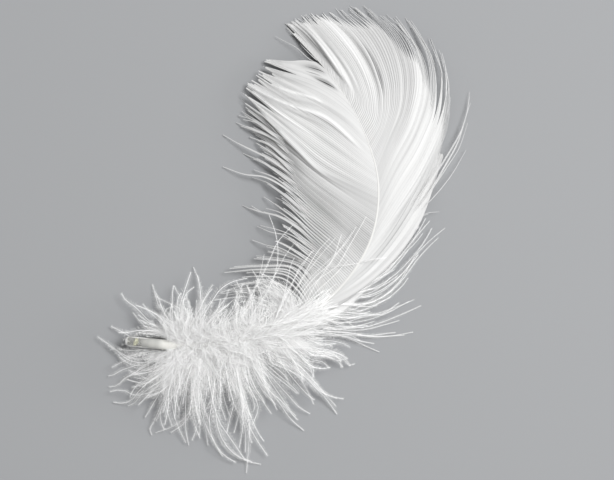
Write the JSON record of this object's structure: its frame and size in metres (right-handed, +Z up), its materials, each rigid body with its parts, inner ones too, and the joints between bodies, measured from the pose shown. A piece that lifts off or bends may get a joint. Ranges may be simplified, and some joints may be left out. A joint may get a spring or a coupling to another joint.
{
  "type": "down feather",
  "caption": "White down feather lying flat: a short quill in a wide tuft of loose down, and a curved shaft that fans out into two soft vanes split at the tip.",
  "frame": {"origin": "under the middle of the feather's outline seen from above, on the surface that it lies on", "axes": "+Z up, the way the feather's upper face looks; +Y from the tuft of down towards the top of the vanes, which is the longest extent"},
  "size_m": [0.0563, 0.0706, 0.0098],
  "materials": {
    "feather": "matt white, slightly translucent"
  },
  "bodies": {
    "root": {"feather": "feather"}
  },
  "joints": []
}
